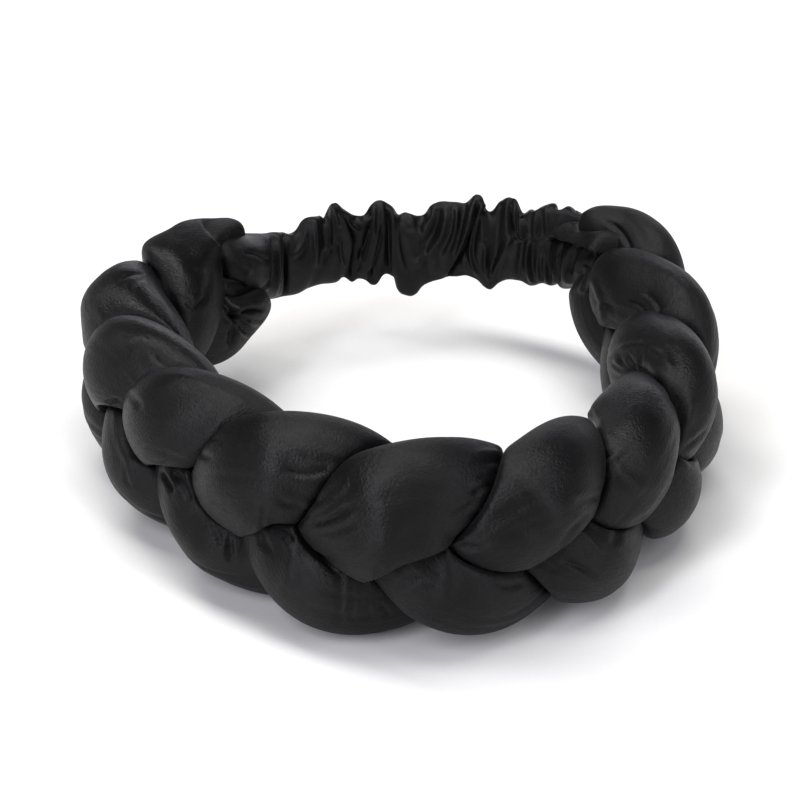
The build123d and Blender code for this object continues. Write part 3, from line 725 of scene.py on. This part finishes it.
def strand_folds(along, angles, turn, seed, strength):
    """Soft lumps all over a strand, and gathers along it near every place where it is gripped."""
    chance = np.random.default_rng(seed)
    girth = angles[None] - np.pi
    run = along[:, None]
    moved = np.zeros((len(along), len(angles)))
    for _ in range(SWELLS):
        length = chance.uniform(*SWELL_LENGTH)
        count = chance.integers(*SWELL_WAVES)
        phase, shift = chance.uniform(0.0, FULL_TURN, 2)
        moved += SWELL_HEIGHT * np.sin(FULL_TURN * run / length + phase) * np.cos(count * girth + shift)

    def crosses(wave, place):
        return np.interp(place, along, wave) * np.interp(place + GRIP_STEP, along, wave) < 0.0

    grips = [place for place in np.arange(0.0, along[-1], GRIP_STEP)
             if crosses(np.sin(turn), place) or crosses(np.cos(turn), place)]
    for grip in grips:
        for _ in range(GRIP_CREASES):
            centre = grip + chance.uniform(*CREASE_OFFSET)
            reach = chance.uniform(*CREASE_REACH)
            where = chance.uniform(0.0, FULL_TURN)
            slope = chance.uniform(*CREASE_SLOPE)
            width = chance.uniform(*CREASE_WIDTH)
            deep = chance.uniform(*CREASE_DEPTH)
            row = np.abs(along - centre) < CREASE_FADE * reach
            if not row.any():
                continue
            away = np.mod(girth - where + np.pi, FULL_TURN) - np.pi
            offset = away * STRAND_RADIUS - slope * (run[row] - centre)
            moved[row] -= deep * hat(offset, width) * np.exp(-((run[row] - centre) / reach) ** 2)
    return strength * moved


def squarish(sides):
    """Angles round a flat sleeve, and how far out and up its outline lies at each, from -1 to 1."""
    angles = np.linspace(0.0, FULL_TURN, sides + 1)
    bend = 2.0 / CASING_SQUARENESS
    across = np.sign(np.cos(angles)) * np.abs(np.cos(angles)) ** bend
    up = np.sign(np.sin(angles)) * np.abs(np.sin(angles)) ** bend
    return angles, across, up


def casing_surface(distance, middle, top, bottom):
    """Rings of the casing's flat sleeve, whose reaches above and below its middle line differ."""
    angles, across, up = squarish(CASING_SIDES)
    place, _, outward = ring_frame(distance)
    out = CASING_DEPTH / 2.0 * across[None]
    height = np.where(up[None] > 0.0, top[:, None], bottom[:, None]) * up[None] + middle[:, None]
    rings = place[:, None] + outward[:, None] * out[..., None]
    rings[..., 2] += height
    return rings, angles


def cuff_section(rows, share):
    """A cuff's middle height, half height, outward shift, half depth and lift at each share."""
    order = np.argsort(rows[:, 0])
    return [smooth_table(share, rows[order, 0], rows[order, column]) for column in range(1, 6)]


def cuff_surface(rows, cut_back):
    """A cuff's skin, with the edge of its mouth cut back by its own share at each height."""
    mouth, seam = rows[0, 0], rows[-1, 0]
    angles, across, up = squarish(CUFF_SIDES)
    towards_head = smooth_step(0.5 - across)
    cut = smooth_table(up, MOUTH[:, 0], cut_back) * towards_head + cut_back.mean() * (1.0 - towards_head)
    cut = cut * np.sign(mouth - seam)
    along = np.linspace(0.0, 1.0, CUFF_RINGS)[:, None]
    share = (mouth - cut[None]) * (1.0 - along) + seam * along
    if mouth < seam:
        share = share[::-1]
    middle, tall, shift, deep, raised = cuff_section(rows, share)
    distance = RING_LENGTH - share * CASING_LENGTH
    place, _, outward = ring_frame(distance)
    rings = place + outward * (shift + deep * across[None])[..., None]
    rings[..., 2] += middle + tall * up[None] - raised * across[None]
    return rings, angles, distance, share


def tucked(piece, rings):
    """A strand with its ends drawn into the cuffs, or laid under one of them."""
    for side, start, full, inside in TUCKS[piece]:
        rows = CUFF_RIGHT if side == "right" else CUFF_LEFT
        near = slice(0, RIGHT_END_RINGS) if side == "right" else slice(-LEFT_END_RINGS, None)
        points = rings[near].copy()
        flat = points[..., :2].reshape(-1, 2)
        beside = ((flat[:, None] - ROUTE[None, ::2]) ** 2).sum(axis=2).argmin(axis=1)
        rough = ROUTE_LENGTHS[::2][beside].reshape(points.shape[:2])
        place, forward, _ = ring_frame(rough)
        distance = rough + ((points - place)[..., :2] * forward[..., :2]).sum(axis=2)
        if side == "right":
            distance = np.where(distance > RING_LENGTH / 2.0, distance - RING_LENGTH, distance)
            share = -distance / CASING_LENGTH
        else:
            share = (RING_LENGTH - distance) / CASING_LENGTH
        place, _, outward = ring_frame(distance)
        out = ((points - place)[..., :2] * outward[..., :2]).sum(axis=2)
        middle, tall, shift, deep, raised = cuff_section(rows, share)
        across = (out - shift) / deep
        up = (points[..., 2] - middle + raised * across) / tall
        held = smooth_step((distance - start) / (full - start))
        if inside > 0:
            size = np.abs(across) ** CASING_SQUARENESS + np.abs(up) ** CASING_SQUARENESS
            size = np.maximum(size ** (1.0 / CASING_SQUARENESS), LEAST_SIZE)
            raised_up = smooth_step((up - TUCK_FLOOR) / TUCK_FLOOR_FADE)
            shrink = 1.0 - held * raised_up * (1.0 - np.minimum(1.0, TUCK_ROOM / size))
            new_across, new_up = across * shrink, up * shrink
        else:
            under = np.clip(1.0 - np.abs(across) ** CASING_SQUARENESS, 0.0, 1.0)
            lowest = -(under ** (1.0 / CASING_SQUARENESS)) - UNDER_GAP
            new_across = across
            new_up = np.where(np.abs(across) < 1.0, up + held * np.minimum(lowest - up, 0.0), up)
        points = place + outward * (shift + deep * new_across)[..., None]
        points[..., 2] += middle + tall * new_up - raised * new_across
        rings = rings.copy()
        rings[near] = points
    return rings


def sleeve_gathers(share, angles, chance, count, widths, depths):
    """Gathers across a flat sleeve, each leaning its own way and fading out along its length."""
    moved = np.zeros((share.shape[0], len(angles)))
    run = share * CASING_LENGTH
    height = np.sin(angles)[None]
    for _ in range(count):
        centre = chance.uniform(run.min() - GATHER_MARGIN, run.max() + GATHER_MARGIN)
        slope = chance.uniform(*GATHER_LEAN)
        width = chance.uniform(*widths)
        deep = chance.uniform(*depths)
        middle = chance.uniform(-1.0, 1.0)
        reach = chance.uniform(*GATHER_REACH)
        face = 1.0 if chance.uniform() > HEAD_SIDE_SHARE else -1.0
        deep = deep * (OUTER_DEPTH if face > 0.0 else 1.0)
        side = smooth_step(0.5 + FACE_EDGE * face * np.cos(angles))[None]
        offset = run - centre - slope * height
        moved -= deep * hat(offset, width) * np.exp(-((height - middle) / reach) ** 2) * side
    return moved


def cloth_places(run, angles, wide, tall):
    """Where each point of a skin lies on its own cloth: along its run, and round its girth."""
    places = (run, wide * np.cos(angles), tall * np.sin(angles))
    return np.stack(np.broadcast_arrays(*places), axis=-1)


def grid_piece(name, rings, cloth):
    """A mesh piece whose surface follows rings of points, with the cloth's own run and girth."""
    rows, columns = rings.shape[:2]
    grid = bmesh.new()
    bmesh.ops.create_grid(grid, x_segments=columns - 1, y_segments=rows - 1, size=1.0)
    mesh = bpy.data.meshes.new(name)
    grid.to_mesh(mesh)
    grid.free()
    flat = np.empty(len(mesh.vertices) * 3)
    mesh.vertices.foreach_get("co", flat)
    flat = flat.reshape(-1, 3)
    column = np.rint((flat[:, 0] + 1.0) / 2.0 * (columns - 1)).astype(int)
    row = np.rint((flat[:, 1] + 1.0) / 2.0 * (rows - 1)).astype(int)
    placed = (rings[row, column] + RING_MIDDLE) * METRES
    mesh.vertices.foreach_set("co", placed.ravel())
    field = mesh.attributes.new("cloth", "FLOAT_VECTOR", "POINT")
    field.data.foreach_set("vector", (cloth[row, column] * METRES).ravel())
    skin = bmesh.new()
    skin.from_mesh(mesh)
    bmesh.ops.remove_doubles(skin, verts=skin.verts, dist=MERGE_DISTANCE)
    bmesh.ops.dissolve_degenerate(skin, edges=skin.edges, dist=EMPTY_EDGE)
    bmesh.ops.recalc_face_normals(skin, faces=skin.faces)
    for face in skin.faces:
        face.smooth = True
    skin.to_mesh(mesh)
    skin.free()
    piece = bpy.data.objects.new(name, mesh)
    bpy.context.scene.collection.objects.link(piece)
    return piece


def cloth_sleeve(name, rings, normals, moved, cloth):
    """A sleeve whose skin is moved into its folds, with the cloth's wall laid on the inside."""
    moved[:, -1] = moved[:, 0]
    piece = grid_piece(name, rings + normals * moved[..., None], cloth)
    wall = piece.modifiers.new("Cloth", "SOLIDIFY")
    wall.thickness = CLOTH * METRES
    wall.offset = -1.0
    return piece


class Socket:
    """One output of a shader node, on which sums can be written as Python expressions."""

    def __init__(self, tree, link):
        self.tree = tree
        self.link = link

    def _math(self, operation, first, second=None):
        node = self.tree.nodes.new("ShaderNodeMath")
        node.operation = operation
        for place, value in enumerate((first, second)):
            if isinstance(value, Socket):
                self.tree.links.new(value.link, node.inputs[place])
            elif value is not None:
                node.inputs[place].default_value = value
        return Socket(self.tree, node.outputs[0])

    def __add__(self, other):
        return self._math("ADD", self, other)

    __radd__ = __add__

    def __sub__(self, other):
        return self._math("SUBTRACT", self, other)

    def __rsub__(self, other):
        return self._math("SUBTRACT", other, self)

    def __mul__(self, other):
        return self._math("MULTIPLY", self, other)

    __rmul__ = __mul__

    def clamp(self):
        """The value held between 0 and 1."""
        result = self._math("ADD", self, 0.0)
        result.link.node.use_clamp = True
        return result


class Finish:
    """A material under construction."""

    def __init__(self, name):
        self.material = bpy.data.materials.new(name)
        self.material.use_nodes = True
        self.tree = self.material.node_tree
        self.tree.nodes.clear()

    def node(self, kind, settings=None, sockets=None, output=0):
        """Add one node: its settings first, then the values or links of its sockets."""
        node = self.tree.nodes.new(kind)
        for key, value in (settings or {}).items():
            setattr(node, key, value)
        for key, value in (sockets or {}).items():
            if isinstance(value, Socket):
                self.tree.links.new(value.link, node.inputs[key])
            else:
                node.inputs[key].default_value = value
        return Socket(self.tree, node.outputs[output]) if node.outputs else None

    def mix(self, factor, first, second):
        """One colour laid over another."""
        return self.node("ShaderNodeMix", {"data_type": "RGBA"}, {0: factor, 6: first, 7: second}, 2)

    def stretched(self, where, scale):
        """A pattern's place, stretched by a scale along each axis."""
        return self.node("ShaderNodeVectorMath", {"operation": "MULTIPLY"}, {0: where, 1: scale})

    def noise(self, where, scale, detail=3.0, roughness=0.55):
        """A soft noise from 0 to 1 about one half."""
        return self.node("ShaderNodeTexNoise", None,
                         {"Vector": where, "Scale": scale, "Detail": detail, "Roughness": roughness})


def satin(name, colour, looks, crinkle, along_scale):
    """Black satin: a soft broad sheen, a random mottle of painted sheen tint that makes the colour
    lighter and redder in patches, and fine crinkles.
    """
    finish = Finish(name)
    cloth = finish.node("ShaderNodeAttribute", {"attribute_name": "cloth"}, None, 1)
    place = finish.node("ShaderNodeTexCoord", None, None, 3)
    broad = finish.noise(place, MOTTLE_SCALE, 2.0)
    streaks = finish.noise(finish.stretched(cloth, (along_scale, STREAK_SCALE, STREAK_SCALE)), 1.0, 2.0)
    ripples = finish.noise(finish.stretched(cloth, RIPPLE_SCALE), 1.0, 3.0)
    pebbles = finish.noise(finish.stretched(cloth, PEBBLE_SCALE), 1.0, 2.0, 0.6)
    # Painted sheen tint: the mottle mixes the colour between a darker tone and a lighter, redder one.
    tint = finish.mix((broad * MOTTLE_CONTRAST - MOTTLE_CUT).clamp(),
                      (*[part * DEEP_TINT for part in colour[:3]], 1.0),
                      (*[part * gain for part, gain in zip(colour, SHEEN_PATCH_TINT)], 1.0))
    rough = looks.roughness + (streaks - 0.5) * STREAK_ROUGH + (broad - 0.5) * MOTTLE_ROUGH
    rough = rough + (pebbles - 0.5) * PEBBLE_ROUGH
    height = streaks * STREAK_HEIGHT + ripples * RIPPLE_HEIGHT + pebbles * PEBBLE_HEIGHT
    bump = finish.node("ShaderNodeBump", None, {"Strength": 1.0, "Distance": crinkle, "Height": height})
    shader = finish.node("ShaderNodeBsdfPrincipled", None, {
        "Base Color": tint, "Roughness": rough.clamp(), "Normal": bump,
        "Specular IOR Level": looks.gloss, "Anisotropic": looks.anisotropy, "Anisotropic Rotation": 0.25,
        "Sheen Weight": looks.sheen, "Sheen Roughness": 0.35,
        "Sheen Tint": (0.9, 0.92, 1.0, 1.0)})
    finish.node("ShaderNodeOutputMaterial", None, {"Surface": shader})
    return finish.material


def plain(name, colour, rough):
    """A matt finish for the floor and the woven elastic."""
    finish = Finish(name)
    place = finish.node("ShaderNodeTexCoord", None, None, 3)
    weave = finish.noise(finish.stretched(place, WEAVE_SCALE), 1.0, 2.0)
    tint = finish.mix(weave, colour, (*[min(1.0, part * WEAVE_TINT) for part in colour[:3]], 1.0))
    shader = finish.node("ShaderNodeBsdfPrincipled", None,
                         {"Base Color": tint, "Roughness": rough, "Specular IOR Level": 0.2})
    finish.node("ShaderNodeOutputMaterial", None, {"Surface": shader})
    return finish.material


class HeadbandShape(bpy.types.PropertyGroup):
    folds: bpy.props.FloatProperty(name="Folds", description="How strongly the folds show",
                                   default=1.0, min=0.0, max=2.0)
    gathers: bpy.props.FloatProperty(name="Gathers", description="Depth of the soft gathers",
                                     default=1.0, min=0.0, max=2.0)
    sharpness: bpy.props.FloatProperty(name="Contact", description="How crisply the strands meet",
                                       default=18.0, min=4.0, max=30.0)


class HeadbandLooks(bpy.types.PropertyGroup):
    strand: bpy.props.FloatVectorProperty(name="Strands", description="Colour of the braided satin",
                                          subtype="COLOR", size=4, default=(0.0038, 0.0036, 0.0040, 1.0))
    casing: bpy.props.FloatVectorProperty(name="Casing", description="Colour of the gathered casing",
                                          subtype="COLOR", size=4, default=(0.0044, 0.0042, 0.0046, 1.0))
    elastic: bpy.props.FloatVectorProperty(name="Elastic", description="Colour of the woven elastic",
                                           subtype="COLOR", size=4, default=(0.02, 0.02, 0.02, 1.0))
    roughness: bpy.props.FloatProperty(name="Roughness", description="Roughness of the satin",
                                       default=0.46, min=0.0, max=1.0)
    gloss: bpy.props.FloatProperty(name="Gloss", description="Specular level of the satin",
                                   default=0.18, min=0.0, max=1.0)
    anisotropy: bpy.props.FloatProperty(name="Streak", description="How far highlights are drawn out",
                                        default=0.85, min=0.0, max=1.0)
    sheen: bpy.props.FloatProperty(name="Sheen", description="Soft light on the cloth's edges",
                                   default=0.02, min=0.0, max=1.0)


class HeadbandStage(bpy.types.PropertyGroup):
    floor: bpy.props.FloatVectorProperty(name="Floor", description="Colour of the floor", subtype="COLOR",
                                         size=4, default=(0.76, 0.76, 0.755, 1.0))
    key: bpy.props.FloatProperty(name="Key", description="Power of the main soft light",
                                 default=29.0, min=0.0, unit="POWER")
    world: bpy.props.FloatProperty(name="Surround", description="Brightness of the white surround",
                                   default=0.10, min=0.0)


def dress(piece, node, material):
    """Give a piece its finish, and let it stand for its solid and ride with the ring."""
    piece.data.materials.append(material)
    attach(piece, "root")
    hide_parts(node)


class HEADBAND_OT_strands(bpy.types.Operator):
    """Build the three stuffed satin strands of the braid"""

    bl_idname = "headband.strands"
    bl_label = "Braid strands"

    def execute(self, context):
        shape, looks = context.scene.headband_shape, context.scene.headband_looks
        material = satin("braid_satin", looks.strand, looks, crinkle=0.00035, along_scale=430.0)
        for letter, number in STRANDS.items():
            rings, along, angles, turn, slack = strand_surface(number, shape.sharpness)
            normals = grid_normals(rings)
            rings = pulled(letter, rings)
            moved = strand_folds(along, angles, turn, STRAND_SEED + number, shape.gathers)
            moved += picture_folds(letter, rings, normals, shape.folds)
            moved = np.minimum(moved, slack)
            moved[:CAP_ROWS] = moved[-CAP_ROWS:] = 0.0
            moved[:, -1] = moved[:, 0]
            rings = tucked(letter, rings + normals * moved[..., None])
            rings[..., 2] = np.maximum(rings[..., 2], -RING_MIDDLE[2])
            run = along[:, None] + STRAND_APART * number
            cloth = cloth_places(run, angles, STRAND_RADIUS, STRAND_RADIUS)
            piece = grid_piece(f"strand_{letter}", rings, cloth)
            dress(piece, f"braid_strand_{letter}", material)
        return {"FINISHED"}


class HEADBAND_OT_casing(bpy.types.Operator):
    """Build the gathered casing at the nape"""

    bl_idname = "headband.casing"
    bl_label = "Gathered casing"

    def execute(self, context):
        looks, shape = context.scene.headband_looks, context.scene.headband_shape
        tops = np.array([on_wall(x, y) for x, y in CASING_TOP])[::-1]
        bottoms = np.array([on_wall(x, y) for x, y in CASING_BOTTOM])[::-1]
        share = np.linspace(CASING_FIRST, CASING_LAST, CASING_RINGS)
        top = smooth_table(share, tops[:, 0], tops[:, 1]) - CASING_TRIM_TOP
        bottom = smooth_table(share, bottoms[:, 0], bottoms[:, 1]) + CASING_TRIM_BOTTOM
        middle = (top + bottom) / 2.0
        distance = RING_LENGTH - share * CASING_LENGTH
        rings, angles = casing_surface(distance, middle, top - middle, middle - bottom)
        normals = grid_normals(rings)
        chance = np.random.default_rng(CASING_SEED)
        gathers = sleeve_gathers(share[:, None], angles, chance, CASING_GATHERS,
                                 CASING_GATHER_WIDTH, CASING_GATHER_DEPTH)
        moved = gathers * shape.gathers
        moved += picture_folds("casing", rings, normals, shape.folds, CASING_FOLD_TURNED)
        cloth = cloth_places(distance[:, None], angles, CASING_WIDE, SLEEVE_TALL)[..., [1, 0, 2]]
        cloth = cloth + (CASING_APART, 0.0, 0.0)
        material = satin("casing_satin", looks.casing, looks, crinkle=0.0002, along_scale=120.0)
        piece = cloth_sleeve("gathered_casing", rings, normals, moved, cloth)
        dress(piece, "back_casing", material)
        return {"FINISHED"}


class HEADBAND_OT_cuffs(bpy.types.Operator):
    """Build the two cloth cuffs where the casing meets the braid"""

    bl_idname = "headband.cuffs"
    bl_label = "End cuffs"

    def execute(self, context):
        looks, shape = context.scene.headband_looks, context.scene.headband_shape
        material = satin("cuff_satin", looks.strand, looks, crinkle=0.0004, along_scale=200.0)
        cuffs = (("cuff_right", CUFF_RIGHT, (0.078, 0.034)), ("cuff_left", CUFF_LEFT, (0.078, 0.030)))
        for number, (name, rows, flat) in enumerate(cuffs):
            rings, angles, distance, share = cuff_surface(rows, MOUTH[:, 1 + number])
            normals = grid_normals(rings)
            chance = np.random.default_rng(CUFF_SEED + number)
            gathers = sleeve_gathers(share, angles, chance, CUFF_GATHERS,
                                     CUFF_GATHER_WIDTH, CUFF_GATHER_DEPTH)
            moved = gathers * shape.gathers
            moved += picture_folds(name, rings, normals, shape.folds)
            cloth = cloth_places(distance + CUFF_APART, angles, SLEEVE_TALL, SLEEVE_TALL)
            piece = cloth_sleeve(name, rings, normals, moved, cloth)
            dress(piece, "end_" + name, material)
        return {"FINISHED"}


class HEADBAND_OT_elastic(bpy.types.Operator):
    """Finish the plain elastic inside the casing"""

    bl_idname = "headband.elastic"
    bl_label = "Elastic"

    def execute(self, context):
        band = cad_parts["elastic_band"]
        material = plain("woven_elastic", tuple(context.scene.headband_looks.elastic), rough=0.85)
        band.data.materials.clear()
        band.data.materials.append(material)
        return {"FINISHED"}


class HEADBAND_OT_stage(bpy.types.Operator):
    """Set up the camera, the floor and the studio light"""

    bl_idname = "headband.stage"
    bl_label = "Stage"

    def execute(self, context):
        stage = context.scene.headband_stage
        data = bpy.data.cameras.new("photo_camera")
        data.sensor_width = SENSOR
        data.lens = SENSOR * FOCAL / PICTURE_SIZE
        data.shift_x = (PICTURE_SIZE / 2.0 - PICTURE_X) / PICTURE_SIZE
        data.shift_y = (PICTURE_Y - PICTURE_SIZE / 2.0) / PICTURE_SIZE
        data.clip_end = CAMERA_REACH
        camera = bpy.data.objects.new("photo_camera", data)
        camera.location = (EYE + RING_MIDDLE) * METRES
        camera.rotation_euler = (np.radians(90.0 - CAMERA_RISE), 0.0, 0.0)
        context.scene.collection.objects.link(camera)
        context.scene.camera = camera

        sheet = bmesh.new()
        bmesh.ops.create_grid(sheet, x_segments=1, y_segments=1, size=FLOOR_HALF_WIDTH)
        mesh = bpy.data.meshes.new("floor")
        sheet.to_mesh(mesh)
        sheet.free()
        floor = bpy.data.objects.new("floor", mesh)
        mesh.materials.append(plain("floor_paper", tuple(stage.floor), rough=0.9))
        context.scene.collection.objects.link(floor)

        aim = Vector((RING_MIDDLE + (0.0, 0.0, AIM_HEIGHT)) * METRES)
        for name, place, wide, tall, share, colour in LIGHTS:
            lamp = bpy.data.lights.new(name, "AREA")
            lamp.energy = stage.key * share
            lamp.shape = "RECTANGLE"
            lamp.size, lamp.size_y = wide, tall
            lamp.color = colour
            light = bpy.data.objects.new(name, lamp)
            light.location = aim + Vector(place)
            light.rotation_euler = (-Vector(place)).to_track_quat("-Z", "Y").to_euler()
            context.scene.collection.objects.link(light)

        world = bpy.data.worlds.new("white_surround")
        world.use_nodes = True
        surround = world.node_tree.nodes["Background"]
        surround.inputs["Color"].default_value = (1.0, 1.0, 1.0, 1.0)
        surround.inputs["Strength"].default_value = stage.world
        context.scene.world = world
        return {"FINISHED"}


class HEADBAND_PT_panel(bpy.types.Panel):
    """The headband's steps, in order"""

    bl_idname = "HEADBAND_PT_panel"
    bl_label = "Headband"
    bl_space_type = "VIEW_3D"
    bl_region_type = "UI"
    bl_category = "Headband"

    def draw(self, context):
        for name in ("headband_shape", "headband_looks", "headband_stage"):
            group = getattr(context.scene, name)
            for key in group.__annotations__:
                self.layout.prop(group, key)
        for operator in STEPS:
            self.layout.operator(operator.bl_idname)


STEPS = (HEADBAND_OT_strands, HEADBAND_OT_casing, HEADBAND_OT_cuffs, HEADBAND_OT_elastic,
         HEADBAND_OT_stage)
GROUPS = {"headband_shape": HeadbandShape, "headband_looks": HeadbandLooks,
          "headband_stage": HeadbandStage}


def register():
    for group in (*GROUPS.values(), *STEPS, HEADBAND_PT_panel):
        bpy.utils.register_class(group)
    for name, group in GROUPS.items():
        setattr(bpy.types.Scene, name, bpy.props.PointerProperty(type=group))


def unregister():
    for name in GROUPS:
        delattr(bpy.types.Scene, name)
    for group in (HEADBAND_PT_panel, *STEPS, *GROUPS.values()):
        bpy.utils.unregister_class(group)


def main():
    register()
    bpy.context.scene.view_settings.view_transform = "Standard"
    for operator in (STEPS[-1], *STEPS[:-1]):
        group, name = operator.bl_idname.split(".")
        getattr(getattr(bpy.ops, group), name)()


if __name__ == "__main__":
    main()
